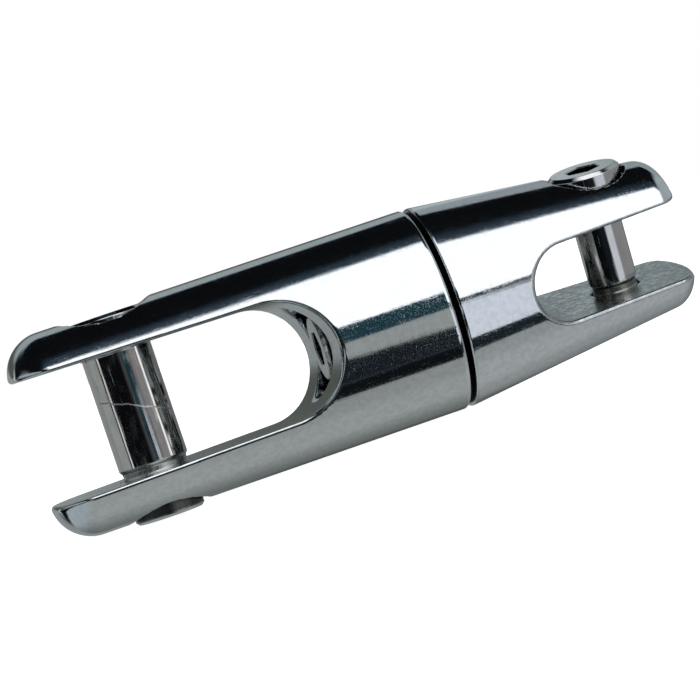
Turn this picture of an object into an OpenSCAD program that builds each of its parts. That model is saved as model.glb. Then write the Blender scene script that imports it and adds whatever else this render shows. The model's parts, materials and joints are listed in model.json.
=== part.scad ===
// Anchor swivel: two polished forks joined end to end by a swivel bolt, each closed by a screw pin.
// The origin is the middle of the anchor pin. +X runs along the swivel axis towards the chain end,
// and +Z runs along the anchor pin towards its head. Threads are plain cylinders at their outer size.

/* [Barrel] */
// Diameter of both forks at the swivel joint
barrel_d = 26; // [25:0.5:30]
// Distance from the anchor pin to the middle of the swivel joint
anchor_pin_to_joint = 39.6; // [38:0.2:50]
// Distance from the middle of the swivel joint to the chain pin
joint_to_chain_pin = 23.0; // [22.6:0.2:32]
// Open gap between the two forks at the joint
joint_gap = 0.6; // [0.4:0.1:1.2]
// Turn of the chain fork about the swivel axis at rest, in degrees
chain_turn = 11.6; // [0:0.1:90]

/* [Anchor fork] */
// Width of the slot that takes the anchor's shank, at its closed end
anchor_slot_w = 14.8; // [12:0.1:16]
// Lean of each face of the slot, which widens it towards its mouth, in degrees
anchor_slot_flare = 1; // [0:0.1:2]
// Distance from the anchor pin to the closed end of the slot
anchor_slot_depth = 24.4; // [18:0.1:25]
// Distance from the anchor pin to the crown of the domed end, which the slot cuts through
anchor_overhang = 14.2; // [12:0.1:20]
// Radius of the rounded outer corner at the end of the arms
anchor_corner_r = 4; // [1:0.1:5]

/* [Chain fork] */
// Width of the slot that takes the chain link
chain_slot_w = 9.8; // [8:0.1:11]
// Distance from the chain pin to the closed end of the slot
chain_slot_depth = 12.8; // [10:0.1:14]
// Distance from the chain pin to the crown of the domed end, which the slot cuts through
chain_overhang = 10.1; // [8.5:0.1:14]
// Half angle of the fork's taper, in degrees
chain_taper = 6.4; // [0:0.1:7]
// Radius of the rounded outer corner at the end of the arms
chain_corner_r = 1.4; // [0.5:0.1:2]

/* [Anchor pin] */
// Diameter of the shank that the anchor hangs on
anchor_pin_d = 8.8; // [7:0.1:9]
// Diameter of the screw's head
anchor_head_d = 10.6; // [10.4:0.1:11.2]
// Width across the flats of the hex socket
anchor_socket_af = 5; // [4:0.5:6]

/* [Chain pin] */
// Diameter of the shank that the chain link hangs on
chain_pin_d = 6.2; // [5:0.1:6.4]
// Diameter of the screw's head
chain_head_d = 9.2; // [7.6:0.1:9.4]
// Width across the flats of the hex socket
chain_socket_af = 4; // [3:0.5:5]

/* [Swivel bolt] */
// Diameter of the bolt's shank and thread
bolt_d = 6; // [5:0.5:6.5]
// Diameter of the bolt's head
bolt_head_d = 8.8; // [8.4:0.1:10]
// Width across the flats of the hex socket
bolt_socket_af = 4; // [3:0.5:5]
// Diameter of the counterbore around the bolt's head
bolt_counterbore_d = 12.4; // [11:0.1:13]

/* [Hidden] */
$fn = 96;
barrel_r = barrel_d / 2;
joint_x = anchor_pin_to_joint;
chain_pin_x = joint_x + joint_to_chain_pin;
end_dome_r = [60, 24];           // radius of the domed end of the anchor arms and of the chain nose
corner_proud = 0.01;             // extra radius of the corners, so that they cross their neighbours cleanly
edge_break = 0.4;                // small chamfer on machined edges
fit_gap = 0.05;                  // running clearance between a shaft and its hole, on the radius
seat_gap = 0.02;                 // gap between two pieces that are fastened to each other
thrust_gap = 0.05;               // axial play of the swivel
past = 1;                        // how far a cutting shape runs past the surface that it cuts

washer_recess = 0.5;             // depth of the seat for the joint washer in each fork
joint_washer_r = 9.5;
bolt_r = bolt_d / 2;
bolt_head_h = 4.4;
bolt_head_proud = 0.5;           // how far the bolt's head stands into the slot
head_washer_h = 1.5;
washer_bore_room = 0.2;          // clearance of both washers around the bolt, on the radius
washer_rim_room = 0.2;           // clearance of the head washer in its counterbore, on the radius
bush_wall = 1.4;
lock_screw_len = 3;
lock_screw_af = 3;
lock_screw_sunk = 0.5;           // how far the grub screw lies under the crotch of the chain slot
lock_screw_room = 0.2;           // space between the end of the bolt and the grub screw

anchor_crotch_x = anchor_slot_depth;
bolt_head_x = anchor_crotch_x - bolt_head_proud;
bolt_seat_x = bolt_head_x + bolt_head_h;
counterbore_floor_x = bolt_seat_x + thrust_gap + head_washer_h;
bush_r = bolt_r + fit_gap + bush_wall;
anchor_face_x = joint_x - joint_gap / 2;
chain_face_x = joint_x + joint_gap / 2;
chain_crotch_x = chain_pin_x - chain_slot_depth;
lock_screw_x = chain_crotch_x - lock_screw_sunk - lock_screw_len;

// What the two screw pins have in common
pin_relief_w = 1.4;              // width of the relief groove between shank and thread
pin_relief_in = 0.3;             // depth of that groove
pin_relief_up = 1;               // how far the groove starts above the lower arm
pin_land_up = 0.2;               // extra radius of the land in the upper arm
head_room = 0.6;                 // counterbore clearance around a pin's head, on the radius
end_room = 0.8;                  // how far the spot face reaches around the anchor pin's end
chain_pin_surface = barrel_r - (joint_to_chain_pin - joint_gap / 2) * tan(chain_taper);
anchor_slot_at_pin = anchor_slot_w + 2 * (anchor_slot_depth - anchor_slot_w / 2) * tan(anchor_slot_flare);
anchor_head_top = barrel_r - 0.6;
anchor_head_h = 3;
anchor_end = barrel_r + 0.5;
anchor_spot_floor = barrel_r - 1.6;
chain_head_top = chain_pin_surface + 0.4;
chain_head_h = 3.2;
chain_end = chain_pin_surface - 2;
chain_thread_floor = chain_pin_surface - 1.7;

polished = "silver";
turned = "lightgray";

// Half profile of a fork's body: axis up the Y axis, joint face at 0, domed end at len
module body_profile(len, taper, dome_r, corner_r) {
    lean = tan(taper);
    inner = barrel_r - corner_r / cos(taper);
    dome_y = len - dome_r;
    reach = dome_r - corner_r;
    half_b = inner * lean + dome_y;
    under_root = half_b ^ 2 - (1 + lean ^ 2) * (inner ^ 2 + dome_y ^ 2 - reach ^ 2);
    corner_y = (half_b + sqrt(under_root)) / (1 + lean ^ 2);
    corner = [inner - lean * corner_y, corner_y];
    side_touch = corner + corner_r * [cos(taper), sin(taper)];
    dome_touch = corner + corner_r * (corner - [0, dome_y]) / reach;
    outside = [barrel_r - lean * len + past, len + past];
    difference() {
        intersection() {
            polygon([[0, 0], [barrel_r - edge_break, 0], [barrel_r - lean * edge_break, edge_break],
                     [barrel_r - lean * (len + past), len + past], [0, len + past]]);
            translate([0, dome_y]) circle(dome_r, $fn = 360);
        }
        difference() {
            polygon([corner, side_touch, outside, dome_touch]);
            translate(corner) circle(corner_r + corner_proud);
        }
    }
}

// The revolved body starts at 45 degrees, so that its seam is clear of every hole and slot
module body_of_fork(len, taper, dome_r, corner_r) {
    rotate(45) rotate_extrude($fn = 180) body_profile(len, taper, dome_r, corner_r);
}

// Slot along Y with a half-round closed end at crotch_x, open towards dir. Each face leans by flare
module slot_cut(width, crotch_x, dir, flare = 0) {
    run = 2 * barrel_d;
    mouth = width / 2 + run * tan(flare);
    translate([crotch_x + dir * width / 2, 0, 0]) rotate([90, 0, 0]) {
        cylinder(h = 2 * barrel_d, d = width, center = true);
        linear_extrude(2 * barrel_d, center = true)
            polygon([[0, -width / 2], [dir * run, -mouth], [dir * run, mouth], [0, width / 2]]);
    }
}

// Cylinder along the swivel axis from x0 to x1
module along_x(x0, x1, r) {
    translate([x0, 0, 0]) rotate([0, 90, 0]) cylinder(h = x1 - x0, r = r);
}

// Hex prism along Z with its mouth at z = 0, pointing down, with a drilled cone at the bottom
module socket_cut(af, depth) {
    translate([0, 0, -depth]) cylinder(h = depth + past, d = af / cos(30), $fn = 6);
    translate([0, 0, -depth - af / 6]) cylinder(h = af / 6 + 0.01, r1 = 0, r2 = af / 2 - 0.01, $fn = 48);
}

// Holes in a fork for its pin: head counterbore, land and thread
module pin_holes(shank_r, head_r, head_floor, thread_floor) {
    translate([0, 0, head_floor]) cylinder(h = barrel_d, r = head_r + head_room);
    cylinder(h = barrel_d, r = shank_r + pin_land_up + fit_gap);
    translate([0, 0, -thread_floor]) cylinder(h = thread_floor, r = shank_r + fit_gap);
}

// Screw pin along Z, centred on its slot
module screw_pin(slot_w, shank_r, head_r, head_top, head_h, end_z, socket_af) {
    arm = slot_w / 2;
    land_r = shank_r + pin_land_up;
    relief_r = shank_r - pin_relief_in;
    relief_top = pin_relief_up - arm;
    relief_low = relief_top - pin_relief_w;
    seat = head_top - head_h;
    difference() {
        rotate_extrude() polygon([
            [0, head_top], [head_r - edge_break, head_top], [head_r, head_top - edge_break], [head_r, seat],
            [land_r, seat], [land_r, arm], [shank_r, arm], [shank_r, relief_top], [relief_r, relief_top],
            [relief_r, relief_low], [shank_r, relief_low], [shank_r, edge_break - end_z],
            [shank_r - edge_break, -end_z], [0, -end_z]]);
        translate([0, 0, head_top]) socket_cut(socket_af, head_h * 0.75);
    }
}

module washer(x0, x1, hole_r, outer_r) {
    difference() {
        along_x(x0, x1, outer_r);
        along_x(x0 - past, x1 + past, hole_r);
    }
}

module anchor_fork() {
    color(polished) difference() {
        translate([anchor_face_x, 0, 0]) rotate([0, -90, 0])
            body_of_fork(anchor_face_x + anchor_overhang, 0, end_dome_r[0], anchor_corner_r);
        slot_cut(anchor_slot_w, anchor_crotch_x, -1, anchor_slot_flare);
        pin_holes(anchor_pin_d / 2, anchor_head_d / 2, anchor_head_top - anchor_head_h, barrel_d);
        translate([0, 0, -anchor_spot_floor - barrel_d])
            cylinder(h = barrel_d, r = anchor_pin_d / 2 + end_room);
        along_x(anchor_crotch_x - anchor_slot_w / 2, counterbore_floor_x, bolt_counterbore_d / 2);
        along_x(counterbore_floor_x - past, anchor_face_x + past, bush_r + seat_gap);
        along_x(anchor_face_x - washer_recess, anchor_face_x + past, joint_washer_r + seat_gap);
    }
}

module chain_fork() {
    color(polished) rotate([chain_turn, 0, 0]) difference() {
        translate([chain_face_x, 0, 0]) rotate([0, 90, 0])
            body_of_fork(chain_pin_x + chain_overhang - chain_face_x, chain_taper, end_dome_r[1],
                         chain_corner_r);
        slot_cut(chain_slot_w, chain_crotch_x, 1);
        translate([chain_pin_x, 0, 0])
            pin_holes(chain_pin_d / 2, chain_head_d / 2, chain_head_top - chain_head_h, chain_thread_floor);
        along_x(chain_face_x - past, chain_crotch_x + past, bolt_r + seat_gap);
        along_x(chain_face_x - past, chain_face_x + washer_recess, joint_washer_r + fit_gap);
    }
}

module swivel_bolt() {
    color(turned) difference() {
        union() {
            along_x(bolt_head_x + edge_break, bolt_seat_x, bolt_head_d / 2);
            translate([bolt_head_x, 0, 0]) rotate([0, 90, 0])
                cylinder(h = edge_break, r1 = bolt_head_d / 2 - edge_break, r2 = bolt_head_d / 2);
            along_x(bolt_seat_x, lock_screw_x - lock_screw_room, bolt_r);
        }
        translate([bolt_head_x, 0, 0]) rotate([0, -90, 0]) rotate(90)
            socket_cut(bolt_socket_af, bolt_head_h * 0.7);
    }
}

module head_washer() {
    color("darkgray")
        washer(bolt_seat_x + thrust_gap, counterbore_floor_x - seat_gap, bolt_r + washer_bore_room,
               bolt_counterbore_d / 2 - washer_rim_room);
}

module swivel_bush() {
    color("peru") washer(counterbore_floor_x, anchor_face_x - washer_recess, bolt_r + fit_gap, bush_r);
}

module joint_washer() {
    color([0.12, 0.12, 0.13])
        washer(anchor_face_x - washer_recess + seat_gap, chain_face_x + washer_recess - thrust_gap,
               bolt_r + washer_bore_room, joint_washer_r);
}

module bolt_lock_screw() {
    color("dimgray") rotate([chain_turn, 0, 0]) difference() {
        along_x(lock_screw_x, lock_screw_x + lock_screw_len, bolt_r);
        translate([lock_screw_x + lock_screw_len, 0, 0]) rotate([0, 90, 0])
            socket_cut(lock_screw_af, lock_screw_len / 2);
    }
}

module anchor_pin() {
    color(turned)
        screw_pin(anchor_slot_at_pin, anchor_pin_d / 2, anchor_head_d / 2, anchor_head_top, anchor_head_h,
                  anchor_end, anchor_socket_af);
}

module chain_pin() {
    color(turned) rotate([chain_turn, 0, 0]) translate([chain_pin_x, 0, 0])
        screw_pin(chain_slot_w, chain_pin_d / 2, chain_head_d / 2, chain_head_top, chain_head_h,
                  chain_end, chain_socket_af);
}

anchor_fork();
chain_fork();
swivel_bolt();
head_washer();
swivel_bush();
joint_washer();
bolt_lock_screw();
anchor_pin();
chain_pin();
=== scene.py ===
import json
import math

import bpy
import numpy as np
from mathutils import Matrix, Vector


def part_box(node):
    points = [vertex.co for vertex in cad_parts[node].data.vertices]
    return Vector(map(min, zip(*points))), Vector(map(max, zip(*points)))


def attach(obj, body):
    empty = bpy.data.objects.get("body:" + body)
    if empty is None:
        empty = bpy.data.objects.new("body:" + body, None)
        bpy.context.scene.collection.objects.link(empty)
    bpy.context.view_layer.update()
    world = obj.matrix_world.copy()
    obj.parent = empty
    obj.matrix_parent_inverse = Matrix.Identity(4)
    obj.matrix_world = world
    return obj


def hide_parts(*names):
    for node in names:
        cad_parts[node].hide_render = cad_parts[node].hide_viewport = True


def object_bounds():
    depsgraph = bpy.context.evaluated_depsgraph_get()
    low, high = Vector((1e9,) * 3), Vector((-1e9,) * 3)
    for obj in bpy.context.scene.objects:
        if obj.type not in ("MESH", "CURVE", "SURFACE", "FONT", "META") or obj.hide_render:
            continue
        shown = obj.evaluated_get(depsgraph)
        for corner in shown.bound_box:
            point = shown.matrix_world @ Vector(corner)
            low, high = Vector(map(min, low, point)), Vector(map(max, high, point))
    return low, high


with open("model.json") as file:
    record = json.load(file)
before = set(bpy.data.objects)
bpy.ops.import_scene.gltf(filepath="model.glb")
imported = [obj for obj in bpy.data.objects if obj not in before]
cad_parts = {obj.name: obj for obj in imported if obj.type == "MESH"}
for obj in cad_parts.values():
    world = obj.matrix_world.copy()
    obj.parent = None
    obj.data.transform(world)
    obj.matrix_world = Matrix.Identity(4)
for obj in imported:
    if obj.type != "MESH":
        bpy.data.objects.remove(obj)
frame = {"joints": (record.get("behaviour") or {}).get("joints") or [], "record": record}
cad_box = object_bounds()

# ---------------------------------------------------------------------------------------------
# Sizes, in millimetres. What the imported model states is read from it. The rest are sizes of the
# design that it doesn't state, and details that only the looks need.

MM = 0.001
OWN_PLACE = "own_place"   # mesh attribute that holds each point's place before its piece was moved
joints = {joint["name"]: joint for joint in frame["joints"]}
mounts = {mount["name"]: mount for mount in frame["record"]["mounts"]}


def span(node, axis):
    """Lowest and highest place of a CAD node along one axis."""
    low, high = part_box(node)
    return low[axis] / MM, high[axis] / MM


barrel_r = span("anchor_fork", 2)[1]
anchor_face_x = span("anchor_fork", 0)[1]
chain_face_x = span("chain_fork", 0)[0]
chain_pin_x = mounts["chain_pin_shank"]["pos_m"][0] / MM
anchor_pin_r = mounts["anchor_pin_shank"]["dims"]["r_mm"]
chain_pin_r = mounts["chain_pin_shank"]["dims"]["r_mm"]
lean_axis = joints["chain_pin_withdraw"]["axis"]
chain_turn = math.atan2(-lean_axis[1], lean_axis[2])

anchor_slot_half = 7.4                  # half of the slot's width at its closed end
anchor_slot_flare = math.radians(1)
anchor_crotch_x = 24.4                  # the slot's closed end
# Where the pin meets the arms' inner faces
anchor_arm_z = anchor_slot_half + (anchor_crotch_x - anchor_slot_half) * math.tan(anchor_slot_flare)
anchor_overhang = 14.2                  # from the pin's axis to the end of the dome
anchor_dome_r = 60
anchor_dome_edge_r = 4
anchor_counterbore_r = 5.9
anchor_counterbore_z = 9.4
anchor_spot_face_r = 5.2
anchor_spot_face_z = 11.4
anchor_head_top = 12.4

chain_slot_half = 4.9
chain_crotch_x = chain_pin_x - 12.8
chain_overhang = 10.1
chain_dome_r = 24
chain_dome_edge_r = 1.4
chain_taper = math.radians(6.4)
chain_side_z = barrel_r - (chain_pin_x - chain_face_x) * math.tan(chain_taper)   # surface at its pin
chain_counterbore_r = 5.2
chain_counterbore_z = chain_side_z - 2.8
chain_thread_floor = chain_side_z - 1.7
chain_head_top = chain_side_z + 0.4

land_step = 0.2          # how much wider a pin's land is than its shank, as a radius
hole_clearance = 0.05
washer_clearance = 0.2
through = 99             # depth of a hole without a floor
overlap = 1              # how far a hole that goes on from another one starts inside it

bolt_r = 3.0
bolt_head_x, bolt_end_x = span("swivel_bolt", 0)
bolt_thread_x = chain_face_x + 1
bolt_head_r = 4.4
bolt_head_h = 4.4
counterbore_r = 6.2
counterbore_floor_x = span("swivel_bush", 0)[0]
bush_r = 4.45
bush_hole_r = bush_r + 0.02
joint_washer_r = 9.5
joint_recess_depth = 0.5
joint_recess_r = joint_washer_r + 0.03

anchor_joint_edge_r = 0.5      # rounding of the anchor fork's edge at the joint
chain_joint_edge_r = 0.3
rim_r = 0.6              # rounding of the edges of the slots
hole_edge_r = 0.22       # rounding of the edges of the holes


# ---------------------------------------------------------------------------------------------
# Solids as distance fields. A field is negative inside, and its mesh is a net of quads laid on the
# field's zero surface, which gives it rounded outer edges and the field's own normals.

def round_and(a, b, radius):
    """What two solids share, with the edge between them rounded."""
    corner = np.hypot(np.maximum(a + radius, 0), np.maximum(b + radius, 0))
    return np.minimum(-radius, np.maximum(a, b)) + corner


def turned_body(axial, radial, length, taper, dome_r, dome_edge_r, joint_edge_r):
    """A fork's body before it is cut: joint face at axial 0, tapering side, domed end at length."""
    side = (radial - barrel_r + axial * math.tan(taper)) * math.cos(taper)
    dome = np.hypot(radial, axial - length + dome_r) - dome_r
    return round_and(round_and(side, dome, dome_edge_r), -axial, joint_edge_r)


def slot_field(x, z, crotch_x, half, towards, flare):
    """A slot through the fork along Y, with a half-round closed end and open towards -X or +X."""
    along = (x - crotch_x) * towards - half
    face = np.abs(z) - np.maximum(along, 0) * math.tan(flare)
    return np.where(along > 0, face, np.hypot(along, z)) - half


def hole_field(across, along, radius, floor):
    """A round hole that starts at floor and runs on without end."""
    return np.maximum(across - radius, floor - along)


def cut(body, holes):
    """The body less its holes, with a small rounding around each."""
    for hole in holes:
        body = round_and(body, -hole, hole_edge_r)
    return body


def pin_holes(x, y, z, shank_r, head_r, head_floor, thread_floor):
    """Counterbore, land and thread hole of a screw pin that stands at x = 0."""
    across = np.hypot(x, y)
    head = hole_field(across, z, head_r, head_floor)
    land = hole_field(across, z, shank_r + land_step + hole_clearance, 0)
    thread = np.maximum(across - shank_r - hole_clearance, np.maximum(z, -z - thread_floor))
    return [head, land, thread]


def anchor_fork_field(x, y, z):
    swivel_r = np.hypot(y, z)
    length = anchor_face_x + anchor_overhang
    body = turned_body(anchor_face_x - x, swivel_r, length, 0, anchor_dome_r, anchor_dome_edge_r,
                       anchor_joint_edge_r)
    slot = slot_field(x, z, anchor_crotch_x, anchor_slot_half, -1, anchor_slot_flare)
    body = round_and(body, -slot, rim_r)
    holes = pin_holes(x, y, z, anchor_pin_r, anchor_counterbore_r, anchor_counterbore_z, through)
    holes.append(hole_field(np.hypot(x, y), -z, anchor_spot_face_r, anchor_spot_face_z))
    holes.append(hole_field(swivel_r, -x, counterbore_r, -counterbore_floor_x))
    holes.append(hole_field(swivel_r, x, bush_hole_r, counterbore_floor_x - overlap))
    holes.append(hole_field(swivel_r, x, joint_recess_r, anchor_face_x - joint_recess_depth))
    return cut(body, holes)


def chain_fork_field(x, y, z):
    swivel_r = np.hypot(y, z)
    length = chain_pin_x + chain_overhang - chain_face_x
    body = turned_body(x - chain_face_x, swivel_r, length, chain_taper, chain_dome_r, chain_dome_edge_r,
                       chain_joint_edge_r)
    slot = slot_field(x, z, chain_crotch_x, chain_slot_half, 1, 0)
    body = round_and(body, -slot, rim_r)
    holes = pin_holes(x - chain_pin_x, y, z, chain_pin_r, chain_counterbore_r, chain_counterbore_z,
                      chain_thread_floor)
    holes.append(swivel_r - bolt_r - hole_clearance)
    holes.append(hole_field(swivel_r, -x, joint_recess_r, -chain_face_x - joint_recess_depth))
    return cut(body, holes)


def field_slopes(field, points):
    """The field's slope at each point, from its values a short step away on both sides."""
    step = 0.01
    slopes = np.empty_like(points)
    for axis in range(3):
        shift = np.zeros(3)
        shift[axis] = step
        slopes[:, axis] = field(*(points + shift).T) - field(*(points - shift).T)
    return slopes / (2 * step)


def cell_points(values, origin, spacing, cells):
    """For each cell that the surface passes through, the mean of where it crosses the cell's edges."""
    corners = np.array([(i, j, k) for i in (0, 1) for j in (0, 1) for k in (0, 1)])
    total = np.zeros((len(cells), 3))
    count = np.zeros(len(cells))
    for a in corners:
        for axis in np.flatnonzero(a == 0):
            b = a.copy()
            b[axis] = 1
            at_a = values[tuple((cells + a).T)]
            at_b = values[tuple((cells + b).T)]
            crosses = (at_a < 0) != (at_b < 0)
            share = np.where(crosses, at_a / np.where(crosses, at_a - at_b, 1), 0)
            total += crosses[:, None] * (cells + a + share[:, None] * (b - a))
            count += crosses
    return origin + spacing * total / count[:, None]


def net_quads(inside, number):
    """One quad around every grid edge whose two ends lie on different sides of the surface."""
    quads = []
    for axis in range(3):
        u, v = (axis + 1) % 3, (axis + 2) % 3
        lower = np.take(inside, range(inside.shape[axis] - 1), axis)
        upper = np.take(inside, range(1, inside.shape[axis]), axis)
        edges = np.argwhere(lower != upper)
        corner = []
        for du, dv in ((-1, -1), (0, -1), (0, 0), (-1, 0)):
            cell = edges.copy()
            cell[:, u] += du
            cell[:, v] += dv
            corner.append(number[tuple(cell.T)])
        ring = np.stack(corner, 1)
        outward = lower[tuple(edges.T)]
        quads.append(np.where(outward[:, None], ring, ring[:, ::-1]))
    return np.concatenate(quads)


def solid_from_field(name, field, low, high, spacing):
    """A closed mesh on the field's zero surface, between two corners of a box."""
    axes = [np.arange(low[i] - 2 * spacing, high[i] + 3 * spacing, spacing) for i in range(3)]
    values = field(*np.meshgrid(*axes, indexing="ij", sparse=True))
    inside = values < 0
    nx, ny, nz = (n - 1 for n in inside.shape)
    count = sum(inside[i:nx + i, j:ny + j, k:nz + k].astype(np.int8)
                for i in (0, 1) for j in (0, 1) for k in (0, 1))
    cells = np.argwhere((count > 0) & (count < 8))
    number = np.full(count.shape, -1)
    number[tuple(cells.T)] = np.arange(len(cells))
    points = cell_points(values, np.array([axis[0] for axis in axes]), spacing, cells)
    # Three steps along the slope bring each point onto the surface
    least_steep = 0.2
    for _ in range(3):
        slopes = field_slopes(field, points)
        steep = np.maximum((slopes ** 2).sum(1), least_steep)
        move = slopes * (field(*points.T) / steep)[:, None]
        points = points - np.clip(move, -spacing / 2, spacing / 2)
    slopes = field_slopes(field, points)
    normals = slopes / np.linalg.norm(slopes, axis=1, keepdims=True)
    mesh = bpy.data.meshes.new(name)
    mesh.from_pydata((points * MM).tolist(), [], net_quads(inside, number).tolist())
    mesh.polygons.foreach_set("use_smooth", [True] * len(mesh.polygons))
    mesh.normals_split_custom_set_from_vertices(normals.tolist())
    piece = bpy.data.objects.new(name, mesh)
    bpy.context.scene.collection.objects.link(piece)
    return piece


# ---------------------------------------------------------------------------------------------
# Turned pieces: rings of points around the local Z axis.

SIDES = 96
TIP_R = 0.05             # radius of the flat cap that closes a turned piece on its axis
SOCKET_RIM = 0.66        # radius where the flat around a hex socket starts, times the width across its flats
LONG_STRETCH = 0.5       # a longer stretch of a profile gets a guard ring near each end,
GUARD_GAP = 0.06         # this far from the end
turn = np.arange(SIDES) * 2 * math.pi / SIDES
hex_turn = (turn + math.pi / 6) % (math.pi / 3) - math.pi / 6


def round_ring(radius, height):
    return np.full(SIDES, float(radius)), np.full(SIDES, float(height))


def hex_ring(flats, height):
    """A hexagon that is flats wide across its flats."""
    return flats / 2 / np.cos(hex_turn), np.full(SIDES, float(height))


def rounded_rings(corners, steps=4):
    """Rings along a profile of (radius, height, rounding) corners. The first and last stay sharp."""
    rings = [round_ring(*corners[0][:2])]
    for before, corner, after in zip(corners, corners[1:], corners[2:]):
        here = np.array(corner[:2])
        back = np.array(before[:2]) - here
        ahead = np.array(after[:2]) - here
        back /= np.linalg.norm(back)
        ahead /= np.linalg.norm(ahead)
        half = math.acos(np.clip(back @ ahead, -1, 1)) / 2
        if corner[2] == 0 or half > 1.5:
            rings.append(round_ring(*here))
            continue
        reach = corner[2] / math.tan(half)
        middle = here + (back + ahead) / np.linalg.norm(back + ahead) * corner[2] / math.sin(half)
        first, last = here + back * reach - middle, here + ahead * reach - middle
        sweep = math.pi - 2 * half
        for step in range(steps + 1):
            part = step / steps
            arm = (first * math.sin((1 - part) * sweep) + last * math.sin(part * sweep)) / math.sin(sweep)
            rings.append(round_ring(*(middle + arm)))
    rings.append(round_ring(*corners[-1][:2]))
    return rings


def socket_rings(flats, top, depth):
    """A hex socket, from the tip of the drilled cone at its bottom up to its chamfered mouth."""
    floor = top - depth
    return [round_ring(TIP_R, floor - flats / 6), round_ring(flats * 0.46, floor), hex_ring(flats, floor),
            hex_ring(flats, floor + 0.05), hex_ring(flats, top - 0.16), hex_ring(flats * 1.02, top - 0.08),
            hex_ring(flats * 1.06, top), hex_ring(flats * 1.1, top)]


def thread_rings(radius, pitch, top, bottom):
    """A 60 degree thread that fades out at both ends, from top down to bottom."""
    depth = 0.6 * pitch
    rings_per_pitch = 12
    flank_slope = 1.35
    crest_flat = 0.12
    rings = []
    steps = int(rings_per_pitch * (top - bottom) / pitch)
    for step in range(1, steps):
        height = top + (bottom - top) * step / steps
        phase = (height / pitch - turn / (2 * math.pi)) % 1
        flank = np.clip((0.5 - np.abs(phase - 0.5)) / 0.5 * flank_slope - crest_flat, 0, 1)
        fade = min(1, (top - height) / depth, (height - bottom) / depth)
        rings.append((radius - depth * fade * flank, np.full(SIDES, height)))
    return rings


def with_guards(rings):
    """The rings, and more of them close to both ends of every long stretch, to keep its shading straight."""
    guarded = [rings[0]]
    for (radius, height), (next_radius, next_height) in zip(rings, rings[1:]):
        length = float(np.max(np.hypot(next_radius - radius, next_height - height)))
        if length > LONG_STRETCH:
            for share in (GUARD_GAP / length, 1 - GUARD_GAP / length):
                guarded.append((radius + (next_radius - radius) * share,
                                height + (next_height - height) * share))
        guarded.append((next_radius, next_height))
    return guarded


def turned_piece(name, rings, closed_ring=False):
    """A piece from its rings, with both ends capped, or joined to each other for a washer."""
    rings = with_guards(rings)
    points = []
    for radius, height in rings:
        points.append(np.stack([radius * np.cos(turn), radius * np.sin(turn), height], axis=1))
    points = np.concatenate(points)
    faces = []
    pairs = [(k, k + 1) for k in range(len(rings) - 1)]
    if closed_ring:
        pairs.append((len(rings) - 1, 0))
    for k, below in pairs:
        for i in range(SIDES):
            j = (i + 1) % SIDES
            faces.append((k * SIDES + i, below * SIDES + i, below * SIDES + j, k * SIDES + j))
    if not closed_ring:
        faces.append(tuple(range(SIDES)))
        faces.append(tuple(reversed(range((len(rings) - 1) * SIDES, len(rings) * SIDES))))
    mesh = bpy.data.meshes.new(name)
    mesh.from_pydata((points * MM).tolist(), [], faces)
    mesh.polygons.foreach_set("use_smooth", [True] * len(mesh.polygons))
    mesh.set_sharp_from_angle(angle=math.radians(38))
    piece = bpy.data.objects.new(name, mesh)
    bpy.context.scene.collection.objects.link(piece)
    return piece


def screw_pin(name, slot_half, shank_r, head_r, head_top, head_h, end_z, socket, pitch, plain_end):
    """A screw pin: head with a hex socket, land, shank, relief groove, thread and plain end."""
    seat = head_top - head_h
    socket_depth = head_h * 0.75
    head_chamfer = 0.45
    land_r = shank_r + land_step
    groove_r = shank_r - 0.3
    groove_top = 1 - slot_half
    groove_low = groove_top - 1.4
    thread_top = groove_low - 0.3
    thread_low = plain_end - end_z
    end_chamfer = 0.35
    rings = socket_rings(socket, head_top, socket_depth)
    rings += rounded_rings([
        (socket * SOCKET_RIM, head_top, 0), (head_r - head_chamfer, head_top, 0.12),
        (head_r, head_top - head_chamfer, 0.12), (head_r, seat, 0.08),
        (land_r, seat, 0.1), (land_r, slot_half, 0.06),
        (shank_r, slot_half - 0.1, 0.06), (shank_r, groove_top + 0.15, 0.1),
        (groove_r, groove_top - 0.3, 0.25), (groove_r, groove_low + 0.5, 0.25),
        (shank_r, groove_low - 0.1, 0.06), (shank_r, thread_top, 0)])
    rings += thread_rings(shank_r, pitch, thread_top, thread_low)
    rings += rounded_rings([(shank_r, thread_low, 0), (shank_r, end_chamfer - end_z, 0.12),
                            (shank_r - end_chamfer, -end_z, 0.1), (TIP_R, -end_z, 0)])
    return turned_piece(name, rings)


def cap_bolt(name, thread_top, end_z):
    """The swivel's bolt, with the top of its head at 0 and the rest below it."""
    socket = 4
    socket_rim_r = 2.7
    socket_depth = bolt_head_h * 0.7
    chamfer = 0.4
    pitch = 1.0
    rings = socket_rings(socket, 0, socket_depth)
    rings += rounded_rings([
        (socket_rim_r, 0, 0), (bolt_head_r - chamfer, 0, 0.12), (bolt_head_r, -chamfer, 0.12),
        (bolt_head_r, -bolt_head_h, 0.08), (bolt_r, -bolt_head_h, 0.12), (bolt_r, thread_top, 0)])
    rings += thread_rings(bolt_r, pitch, thread_top, end_z + chamfer)
    rings += rounded_rings([(bolt_r, end_z + chamfer, 0), (bolt_r - chamfer, end_z, 0.1), (TIP_R, end_z, 0)])
    return turned_piece(name, rings)


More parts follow.
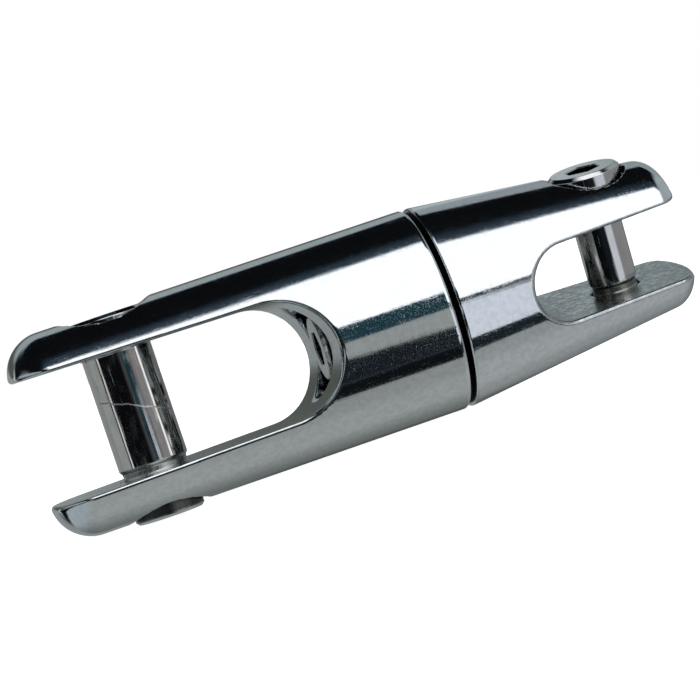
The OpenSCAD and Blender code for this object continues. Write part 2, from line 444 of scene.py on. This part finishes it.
def grub_screw(name, length, socket):
    """A headless screw with the bolt's thread, with its socket's mouth at 0 and the rest below it."""
    chamfer = 0.3
    pitch = 1.0
    rings = socket_rings(socket, 0, length / 2)
    rings += rounded_rings([(socket * SOCKET_RIM, 0, 0), (bolt_r - chamfer, 0, 0.08), (bolt_r, -chamfer, 0)])
    rings += thread_rings(bolt_r, pitch, -chamfer, chamfer - length)
    rings += rounded_rings([(bolt_r, chamfer - length, 0), (bolt_r - chamfer, -length, 0.08),
                            (TIP_R, -length, 0)])
    return turned_piece(name, rings)


def washer(name, hole_r, outer_r, low, high, edge):
    """A ring along Z from low to high."""
    middle = (low + high) / 2
    seam = 0.01          # between the profile's last ring and its first
    rings = rounded_rings([(hole_r, middle, 0), (hole_r, high, edge), (outer_r, high, edge),
                           (outer_r, low, edge), (hole_r, low, edge), (hole_r, middle - seam, 0)])
    return turned_piece(name, rings, closed_ring=True)


# ---------------------------------------------------------------------------------------------
# Materials

def new_material(name):
    material = bpy.data.materials.new(name)
    material.use_nodes = True
    return material, material.node_tree, material.node_tree.nodes["Principled BSDF"]


def add(tree, kind, inputs=None, **settings):
    """A node with its settings and its inputs. An input is a value, or the socket that feeds it."""
    node = tree.nodes.new(kind)
    for key, value in settings.items():
        setattr(node, key, value)
    for key, value in (inputs or {}).items():
        if isinstance(value, bpy.types.NodeSocket):
            tree.links.new(value, node.inputs[key])
        else:
            node.inputs[key].default_value = value
    return node


def maths(tree, operation, *values):
    return add(tree, "ShaderNodeMath", dict(enumerate(values)), operation=operation).outputs[0]


def smooth_step(tree, value, low, high, to_low=0.0, to_high=1.0):
    node = add(tree, "ShaderNodeMapRange", {"Value": value, "From Min": low, "From Max": high,
                                            "To Min": to_low, "To Max": to_high},
               interpolation_type="SMOOTHSTEP")
    return node.outputs["Result"]


def product(tree, result, *factors):
    """All the values multiplied."""
    for factor in factors:
        result = maths(tree, "MULTIPLY", result, factor)
    return result


def between(tree, value, low, high, soft):
    """1 between low and high and 0 outside, with edges that reach soft to both sides."""
    return product(tree, smooth_step(tree, value, low - soft, low + soft),
                   smooth_step(tree, value, high + soft, high - soft))


def distance(tree, a, b):
    """How far a point is from a line, from how far it is along two ways across the line."""
    return maths(tree, "SQRT", maths(tree, "MULTIPLY_ADD", a, a, maths(tree, "MULTIPLY", b, b)))


def opaque(tint, share=1.0):
    """The tint as a colour with alpha, with this share of its brightness."""
    return (*[part * share for part in tint], 1)


def own_place(tree):
    """Where a point lies in its piece's own coordinates, before the piece was put in its place."""
    return add(tree, "ShaderNodeAttribute", attribute_name=OWN_PLACE).outputs["Vector"]


def grain(tree, scale, detail=2.0, turn_by=(0, 0, 0)):
    """Noise in the piece's own coordinates. Scale is how many features a metre has along X, Y and Z."""
    mapped = add(tree, "ShaderNodeMapping", {"Vector": own_place(tree), "Scale": scale, "Rotation": turn_by})
    noise = add(tree, "ShaderNodeTexNoise", {"Vector": mapped.outputs[0], "Scale": 1.0, "Detail": detail})
    return noise.outputs["Fac"]


def mix_colour(tree, share, a, b):
    """Colour a where share is 0, and colour b where it is 1."""
    node = add(tree, "ShaderNodeMix", data_type="RGBA")
    for index, value in ((0, share), (6, a), (7, b)):
        if isinstance(value, bpy.types.NodeSocket):
            tree.links.new(value, node.inputs[index])
        else:
            node.inputs[index].default_value = value
    return node.outputs[2]


def bump(tree, height, distance, normal=None):
    inputs = {"Height": height, "Strength": 1.0, "Distance": distance}
    if normal is not None:
        inputs["Normal"] = normal
    return add(tree, "ShaderNodeBump", inputs).outputs["Normal"]


def plug_in(tree, shader, rough, colour, normal, metallic):
    tree.links.new(rough, shader.inputs["Roughness"])
    tree.links.new(colour, shader.inputs["Base Color"])
    tree.links.new(normal, shader.inputs["Normal"])
    shader.inputs["Metallic"].default_value = metallic


def polished_steel(name, tint, gloss, gap, slots):
    """Mirror-polished stainless, with faint waves from hand polishing, mottling, hairlines and small pits.

    The gap is where two forks meet: X from, X to, and the radius inside which painted shade darkens the
    steel.
    The slots are as slot_field has them, each with how dull its walls are."""
    material, tree, shader = new_material(name)
    axes = add(tree, "ShaderNodeSeparateXYZ", {"Vector": own_place(tree)}).outputs
    waves = grain(tree, (90, 130, 130), 1.0)
    cloud = grain(tree, (420, 420, 420), 4.0)
    mottle = grain(tree, (1500, 1500, 1500), 4.0)
    hairs = smooth_step(tree, grain(tree, (300, 5200, 5200), 3.0, (0, 0, 0.1)), 0.60, 0.72)
    cross_hairs = smooth_step(tree, grain(tree, (4200, 900, 900), 3.0, (0.3, 0.2, 0.7)), 0.66, 0.76)
    pits = smooth_step(tree, grain(tree, (4300, 4300, 4300), 2.0), 0.7, 0.8)
    haze = smooth_step(tree, grain(tree, (5200, 5200, 5200), 3.0), 0.36, 0.78)
    marks = maths(tree, "MAXIMUM", product(tree, hairs, 0.6), product(tree, cross_hairs, 0.7))
    marks = maths(tree, "MAXIMUM", marks, pits)
    rough = smooth_step(tree, cloud, 0.3, 0.75, gloss * 0.7, gloss * 1.3)
    rough = maths(tree, "MULTIPLY_ADD", marks, 0.13, rough)
    rough = maths(tree, "MULTIPLY_ADD", haze, 0.12, rough)
    colour = mix_colour(tree, smooth_step(tree, mottle, 0.36, 0.64), opaque(tint), opaque(tint, 0.9))

    wall_tint = (0.36, 0.38, 0.36, 1)
    for crotch_x, half, towards, dullness in slots:
        along = maths(tree, "MULTIPLY_ADD", axes["X"], towards, -(crotch_x * towards + half) * MM)
        away = distance(tree, axes["Z"], maths(tree, "MINIMUM", along, 0.0))
        wall = smooth_step(tree, away, (half + 0.4) * MM, (half + 0.2) * MM)
        dull = product(tree, wall, dullness, smooth_step(tree, mottle, 0.3, 0.6, 0.4, 1.0))
        rough = maths(tree, "MULTIPLY_ADD", dull, 0.22, rough)
        colour = mix_colour(tree, dull, colour, wall_tint)

    # Painted shade: the groove between the two forks is darkened to near black and made rougher
    gap_shade_tint = (0.012, 0.014, 0.014, 1)
    soft = 0.1 * MM
    x_from, x_to, radius = (value * MM for value in gap)
    across = distance(tree, axes["Z"], axes["Y"])
    gap_shade = product(tree, smooth_step(tree, across, radius + soft, radius - soft),
                    between(tree, axes["X"], x_from, x_to, soft))
    rough = maths(tree, "MULTIPLY_ADD", gap_shade, 0.4, rough)
    colour = mix_colour(tree, gap_shade, colour, gap_shade_tint)

    normal = bump(tree, waves, 1.2e-5)
    normal = bump(tree, mottle, 1.5e-6, normal)
    normal = bump(tree, marks, 1.8e-6, normal)
    plug_in(tree, shader, rough, colour, normal, metallic=1.0)
    return material


def pin_steel(name, tint, gloss, streak_depth=3e-6, ring_depth=3e-7, socket=None, shaded_stretches=(), scratch=False):
    """Turned and drawn stainless, with streaks along the pin, fine rings around it and rub marks.

    The socket's inside gets painted shade, near black. The socket is given as its radius and the top of the
    head.
    Each shaded stretch is Z from, Z to and the tint of its painted shade."""
    material, tree, shader = new_material(name)
    axes = add(tree, "ShaderNodeSeparateXYZ", {"Vector": own_place(tree)}).outputs
    streaks = grain(tree, (2600, 2600, 160), 4.0)
    rings = grain(tree, (40, 40, 6000), 2.0)
    rub = grain(tree, (900, 900, 500), 5.0)
    marks = smooth_step(tree, streaks, 0.58, 0.72)
    if scratch:
        # One wavering scratch around the front, leaning, and a little above the middle
        waver = maths(tree, "MULTIPLY_ADD", grain(tree, (500, 500, 10)), 0.6 * MM, -0.9 * MM)
        line = maths(tree, "MULTIPLY_ADD", axes["X"], 0.42, axes["Z"])
        line = maths(tree, "ABSOLUTE", maths(tree, "ADD", line, waver))
        front = smooth_step(tree, axes["Y"], -1.2 * MM, -2.2 * MM)
        scratched = product(tree, smooth_step(tree, line, 0.14 * MM, 0.04 * MM), front, 1.6)
        marks = maths(tree, "MAXIMUM", marks, scratched)
    rough = smooth_step(tree, rub, 0.35, 0.75, gloss * 0.7, gloss * 1.8)
    rough = maths(tree, "MULTIPLY_ADD", marks, 0.25, rough)
    colour = mix_colour(tree, rub, opaque(tint), opaque(tint, 0.8))

    # Painted shade: the inside of the hex socket is darkened to near black
    if socket is not None:
        socket_shade_tint = (0.035, 0.035, 0.033, 1)
        wide, head_top = socket
        low = (head_top - 3.4) * MM
        high = (head_top - 0.05) * MM
        across = distance(tree, axes["X"], axes["Y"])
        inside = product(tree, smooth_step(tree, across, wide * 1.02 * MM, wide * 0.98 * MM),
                         smooth_step(tree, axes["Z"], high, high - 0.3 * MM),
                         smooth_step(tree, axes["Z"], low - MM, low))
        colour = mix_colour(tree, inside, colour, socket_shade_tint)
    # Painted shade: each stretch of Z is darkened to its tint and made rougher
    for low, high, shade_tint in shaded_stretches:
        stretch_shade = between(tree, axes["Z"], low * MM, high * MM, 0.2 * MM)
        rough = maths(tree, "MULTIPLY_ADD", stretch_shade, 0.22, rough)
        colour = mix_colour(tree, stretch_shade, colour, (*shade_tint, 1))

    normal = bump(tree, streaks, streak_depth)
    normal = bump(tree, rings, ring_depth, normal)
    plug_in(tree, shader, rough, colour, normal, metallic=1.0)
    return material


def black_plastic(name):
    """Machined black acetal with faint turning rings."""
    material, tree, shader = new_material(name)
    rings = grain(tree, (4000, 4000, 400), 3.0)
    rough = smooth_step(tree, rings, 0.3, 0.7, 0.4, 0.6)
    colour = mix_colour(tree, rings, (0.012, 0.012, 0.013, 1), (0.03, 0.03, 0.032, 1))
    plug_in(tree, shader, rough, colour, bump(tree, rings, 8e-6), metallic=0.0)
    return material


joint_gap = (anchor_face_x - 0.35, chain_face_x + 0.35, barrel_r - 0.45)
slot_walls = [(anchor_crotch_x, anchor_slot_half, -1, 0.3), (chain_crotch_x, chain_slot_half, 1, 1.0)]
body_steel = polished_steel("polished_stainless", (0.66, 0.675, 0.685), 0.05, joint_gap, slot_walls)
# Painted shade on the anchor pin: a dark band at its end down in the spot face, and a grey one at its relief
# groove where it enters the lower arm
pin_metal = pin_steel("pin_stainless", (0.6, 0.595, 0.585), 0.07, streak_depth=6e-6, ring_depth=5e-7,
                      socket=(3.0, anchor_head_top), scratch=True,
                      shaded_stretches=[(-13.1, -10.4, (0.09, 0.09, 0.085)), (-8, -6.5, (0.4, 0.4, 0.38))])
# Painted shade on the chain pin: a dark band where it enters the lower arm
chain_pin_metal = pin_steel("chain_pin_stainless", (0.6, 0.59, 0.585), 0.06, ring_depth=5e-7,
                            socket=(2.45, chain_head_top), shaded_stretches=[(-12, -4, (0.24, 0.24, 0.21))])
bolt_metal = pin_steel("turned_stainless", (0.62, 0.62, 0.61), 0.16)
bronze = pin_steel("bearing_bronze", (0.55, 0.38, 0.2), 0.22)
acetal = black_plastic("black_acetal")


# ---------------------------------------------------------------------------------------------
# The pieces

def settle(piece, material, body, node, place=None):
    """Gives a piece its material and place, lets it ride, and puts it in its CAD node's stead."""
    mesh = piece.data
    mesh.materials.append(material)
    points = np.empty(len(mesh.vertices) * 3, np.float32)
    mesh.vertices.foreach_get("co", points)
    mesh.attributes.new(OWN_PLACE, "FLOAT_VECTOR", "POINT").data.foreach_set("vector", points)
    if place is not None:
        mesh.transform(place)
    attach(piece, body)
    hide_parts(node)


turned_side = Matrix.Rotation(chain_turn, 4, "X")
along_swivel = Matrix.Rotation(math.pi / 2, 4, "Y")       # local Z points to +X
against_swivel = Matrix.Rotation(-math.pi / 2, 4, "Y")    # local Z points to -X

half = 13                # of the width of the box around each fork, across the swivel's axis
anchor_fork = solid_from_field("anchor_fork_body", anchor_fork_field,
                               low=(-13.6, -half, -half), high=(anchor_face_x, half, half), spacing=0.28)
settle(anchor_fork, body_steel, "anchor_side", "anchor_fork")

chain_fork = solid_from_field("chain_fork_body", chain_fork_field,
                              low=(chain_face_x, -half, -half), high=(72.2, half, half), spacing=0.25)
settle(chain_fork, body_steel, "chain_side", "chain_fork", turned_side)

anchor_pin = screw_pin("anchor_screw_pin", anchor_arm_z, anchor_pin_r, head_r=5.3, head_top=anchor_head_top,
                       head_h=3.0, end_z=13.5, socket=5, pitch=1.25, plain_end=2.2)
settle(anchor_pin, pin_metal, "anchor_screw_pin", "anchor_pin")

chain_pin = screw_pin("chain_screw_pin", chain_slot_half, chain_pin_r, head_r=4.6, head_top=chain_head_top,
                      head_h=3.2, end_z=chain_side_z - 2, socket=4, pitch=1.0, plain_end=0.5)
settle(chain_pin, chain_pin_metal, "chain_screw_pin", "chain_pin",
       turned_side @ Matrix.Translation((chain_pin_x * MM, 0, 0)))

swivel_bolt = cap_bolt("swivel_cap_bolt", bolt_head_x - bolt_thread_x, bolt_head_x - bolt_end_x)
settle(swivel_bolt, bolt_metal, "chain_side", "swivel_bolt",
       Matrix.Translation((bolt_head_x * MM, 0, 0)) @ against_swivel)

lock_screw_x = span("bolt_lock_screw", 0)[1]
lock_screw = grub_screw("bolt_grub_screw", length=3.0, socket=3)
settle(lock_screw, bolt_metal, "chain_side", "bolt_lock_screw",
       turned_side @ Matrix.Translation((lock_screw_x * MM, 0, 0)) @ along_swivel)

head_ring = washer("head_thrust_washer", bolt_r + washer_clearance, counterbore_r - washer_clearance,
                   *span("head_washer", 0), edge=0.15)
settle(head_ring, bolt_metal, "anchor_side", "head_washer", along_swivel)

bush = washer("swivel_bearing_bush", bolt_r + hole_clearance, bush_r, *span("swivel_bush", 0), edge=0.2)
settle(bush, bronze, "anchor_side", "swivel_bush", along_swivel)

joint_ring = washer("joint_bearing_washer", bolt_r + washer_clearance, joint_washer_r,
                    *span("joint_washer", 0), edge=0.15)
settle(joint_ring, acetal, "anchor_side", "joint_washer", along_swivel)


# ---------------------------------------------------------------------------------------------
# Camera

def add_camera():
    """The viewing angle: nearly level, a little from the anchor's side, with the camera rolled."""
    eye = Vector((-0.04037, -0.39455, 0.00737))
    target = Vector((0.0279, 0, -0.00128))
    roll = Matrix.Rotation(math.radians(-18.658), 4, "Z")
    camera_data = bpy.data.cameras.new("camera")
    camera = bpy.data.objects.new("camera", camera_data)
    bpy.context.scene.collection.objects.link(camera)
    aim = (target - eye).to_track_quat("-Z", "Y").to_matrix().to_4x4()
    camera.matrix_world = Matrix.Translation(eye) @ aim @ roll
    camera_data.lens = 165.79
    camera_data.sensor_width = 36
    camera_data.shift_x = -0.00188
    camera_data.shift_y = -0.00247
    camera_data.clip_start = 0.005
    bpy.context.scene.camera = camera


# ---------------------------------------------------------------------------------------------
# Light: a studio of soft boxes and dark cards around the swivel's axis. Directions are given by the
# angle around that axis, 0 level in front, 90 overhead, 180 level behind, and by how far they
# point along the axis.

WHITE = (1.62, 1.68, 1.74)
BLACK = (0.004, 0.005, 0.006)
UNDER = (0.42, 0.445, 0.445)     # below the part, past the anchor's end
# A band is its start angle, its slant, its edge's softness and its light. It reaches to the next band,
# and its start moves by the slant times how far the direction points along the axis.
BARREL_BANDS = [
    (-180, 0, 4, (0.1, 0.112, 0.108)),
    (-163, 0, 9, (0.13, 0.148, 0.142)),
    (-148, 0, 9, (0.2, 0.22, 0.215)),
    (-133, 0, 9, (0.3, 0.325, 0.32)),
    (-118, 0, 10, (0.43, 0.46, 0.455)),
    (-82, 0, 10, (0.36, 0.38, 0.375)),
    (-61.5, 0, 1, (0.006, 0.008, 0.009)),
    (-47, 0, 1, (0.03, 0.04, 0.05)),
    (-45, 0, 1, (0.012, 0.017, 0.022)),
    (-2, -110, 2, (0.4, 0.43, 0.42)),
    (-3, 0, 0.8, (0.014, 0.052, 0.07)),
    (15, 0, 1, WHITE),
    (81, 0, 2.5, (0.035, 0.06, 0.085)),
    (91, 0, 7, BLACK),
    (139, 0, 1.5, (0.37, 0.43, 0.46)),
    (148, 0, 8, (0.5, 0.57, 0.6)),
    (172, 0, 5, (0.17, 0.18, 0.19)),
]
NOSE_BANDS = [
    (-180, 0, 4, (0.15, 0.165, 0.165)),
    (-160, 0, 12, (0.24, 0.26, 0.26)),
    (-140, 0, 12, (0.36, 0.39, 0.39)),
    (-118, 0, 10, (0.47, 0.5, 0.51)),
    (-78, 0, 10, (0.38, 0.41, 0.41)),
    (-60.5, 0, 1, (0.012, 0.022, 0.026)),
    (-45, 0, 1, (0.86, 0.92, 1.02)),
    (-1.5, 0, 0.8, (0.01, 0.035, 0.05)),
    (3, 0, 0.8, WHITE),
    (73.5, 0, 2.5, (0.03, 0.05, 0.075)),
    (85, 0, 8, BLACK),
    (131, 0, 1.5, (0.35, 0.4, 0.43)),
    (148, 0, 6, (0.3, 0.35, 0.37)),
    (172, 0, 5, (0.17, 0.18, 0.19)),
]
# Level with the part, the light depends on the heading: 0 in front, 90 towards the chain end. A row
# is the heading from which a light is seen, its edge's softness and the light.
LEVEL_LIGHTS = [
    (-180, 2, (0.36, 0.38, 0.37)),
    (-120, 3, (0.43, 0.47, 0.46)),
    (-83, 1, (0.02, 0.02, 0.02)),
    (-78, 1, (1.2, 1.2, 1.2)),
    (-73, 1, (0.005, 0.005, 0.006)),
    (0, 10, (0.16, 0.155, 0.155)),
    (30, 8, (0.34, 0.33, 0.335)),
    (57, 1.5, (1.6, 1.6, 1.6)),
    (64, 1.5, (0.12, 0.11, 0.1)),
    (88, 8, (0.02, 0.02, 0.02)),
    (110, 3, (0.2, 0.2, 0.2)),
]


def banded_sky(tree, angle, along, bands):
    """Lays each band over those before it, from its start angle on."""
    colour = None
    for start, slant, soft, light in bands:
        if colour is None:
            colour = add(tree, "ShaderNodeRGB").outputs[0]
            colour.default_value = (*light, 1)
            continue
        seen = maths(tree, "SUBTRACT", angle, maths(tree, "MULTIPLY", along, float(slant)))
        share = smooth_step(tree, seen, start - soft, start + soft)
        colour = mix_colour(tree, share, colour, (*light, 1))
    return colour


def anchor_end_light(tree, axes, far_side):
    """What lies past the anchor's end: dark in front, pale behind, and as elsewhere underneath."""
    x, y, z = (axes[name] for name in "XYZ")
    pale = mix_colour(tree, smooth_step(tree, x, 0.06, 0.15), (0.3, 0.33, 0.335, 1), (0.1, 0.11, 0.1, 1))
    pale = mix_colour(tree, smooth_step(tree, z, 0.03, 0.12), pale, (0.09, 0.1, 0.09, 1))
    pale = mix_colour(tree, smooth_step(tree, z, 0.26, 0.42), pale, (0.36, 0.42, 0.44, 1))
    low_end = product(tree, smooth_step(tree, x, -0.3, -0.5), smooth_step(tree, z, -0.1, -0.2))
    pale = mix_colour(tree, low_end, pale, (0.03, 0.026, 0.022, 1))
    light = mix_colour(tree, far_side, (*BLACK, 1), pale)
    window = product(tree, between(tree, z, -0.205, -0.055, 0.015), smooth_step(tree, x, -0.15, -0.3),
                     smooth_step(tree, y, 0.1, -0.1))
    light = mix_colour(tree, window, light, (0.42, 0.49, 0.52, 1))
    under = mix_colour(tree, smooth_step(tree, x, 0.1, -0.6), (*UNDER, 1), (0.44, 0.52, 0.56, 1))
    return mix_colour(tree, smooth_step(tree, z, -0.44, -0.5), light, under)


def level_light_share(tree, axes, heading):
    """Where the level lights are seen: a low strip around, but for the middle in front and behind."""
    beside = maths(tree, "ABSOLUTE", maths(tree, "SUBTRACT", heading, 14.5))
    return product(tree, between(tree, axes["Z"], -0.0775, 0.0225, 0.0075),
                   smooth_step(tree, beside, 10, 12), smooth_step(tree, axes["Y"], 0.97, 0.93))


def add_studio():
    """The light around the part, which only its reflections show: a camera sees plain white."""
    world = bpy.data.worlds.new("studio")
    bpy.context.scene.world = world
    world.use_nodes = True
    tree = world.node_tree
    tree.nodes.clear()
    way = add(tree, "ShaderNodeTexCoord").outputs["Generated"]
    axes = add(tree, "ShaderNodeSeparateXYZ", {"Vector": way}).outputs
    x, y, z = (axes[name] for name in "XYZ")
    front = maths(tree, "MULTIPLY", y, -1.0)
    angle = maths(tree, "MULTIPLY", maths(tree, "ARCTAN2", z, front), 180 / math.pi)
    heading = maths(tree, "MULTIPLY", maths(tree, "ARCTAN2", x, front), 180 / math.pi)

    barrel = banded_sky(tree, angle, x, BARREL_BANDS)
    nose = banded_sky(tree, angle, x, NOSE_BANDS)
    sky = mix_colour(tree, smooth_step(tree, x, 0.25, 0.275), barrel, nose)

    far_side = smooth_step(tree, maths(tree, "MULTIPLY_ADD", x, 0.3, y), 0.67, 0.75)
    end_light = anchor_end_light(tree, axes, far_side)
    sky = mix_colour(tree, smooth_step(tree, x, -0.1, -0.45), sky, end_light)
    behind = product(tree, far_side, smooth_step(tree, x, 0.25, 0.2),
                     smooth_step(tree, z, -0.5, -0.42), smooth_step(tree, z, 0.6, 0.5))
    sky = mix_colour(tree, behind, sky, end_light)

    # Grey past the chain's end, and a soft light above each end, which the rounded ends show
    chain_end = product(tree, smooth_step(tree, x, 0.66, 0.78), smooth_step(tree, z, 0.35, 0.25))
    sky = mix_colour(tree, chain_end, sky, (0.36, 0.36, 0.37, 1))
    above_ends = product(tree, smooth_step(tree, maths(tree, "ABSOLUTE", x), 0.6, 0.74),
                         smooth_step(tree, z, 0.08, 0.22))
    sky = mix_colour(tree, above_ends, sky, (0.44, 0.51, 0.54, 1))

    # A strip light behind the part, towards the anchor, draws the bright line along the slots' rims
    strip = product(tree, between(tree, x, -0.6, -0.44, 0.02), far_side)
    sky = mix_colour(tree, strip, sky, (1.1, 1.15, 1.2, 1))

    level_bands = [(start, 0, soft, light) for start, soft, light in LEVEL_LIGHTS]
    level = banded_sky(tree, heading, x, level_bands)
    sky = mix_colour(tree, level_light_share(tree, axes, heading), sky, level)

    seen = add(tree, "ShaderNodeLightPath").outputs["Is Camera Ray"]
    colour = mix_colour(tree, seen, sky, (1, 1, 1, 1))
    background = add(tree, "ShaderNodeBackground", {"Color": colour, "Strength": 1.0})
    add(tree, "ShaderNodeOutputWorld", {"Surface": background.outputs[0]})
    bpy.context.scene.view_settings.view_transform = "Standard"


def add_floor():
    """A pale floor that the part lies on. It glows a little, so that shadows stay faint."""
    reach = 3.0
    gap = 0.0002             # keeps the floor's face and the part's lowest points apart
    height = cad_box[0][2] - gap
    corners = [(-reach, -reach, height), (reach, -reach, height),
               (reach, reach, height), (-reach, reach, height)]
    mesh = bpy.data.meshes.new("floor")
    mesh.from_pydata(corners, [], [(0, 1, 2, 3)])
    floor = bpy.data.objects.new("floor", mesh)
    bpy.context.scene.collection.objects.link(floor)
    material, _, shader = new_material("floor_paper")
    shader.inputs["Base Color"].default_value = (0.9, 0.9, 0.9, 1)
    shader.inputs["Roughness"].default_value = 0.9
    shader.inputs["Emission Color"].default_value = (1, 1, 1, 1)
    shader.inputs["Emission Strength"].default_value = 0.88
    mesh.materials.append(material)
    floor.visible_glossy = False


add_camera()
add_studio()
add_floor()
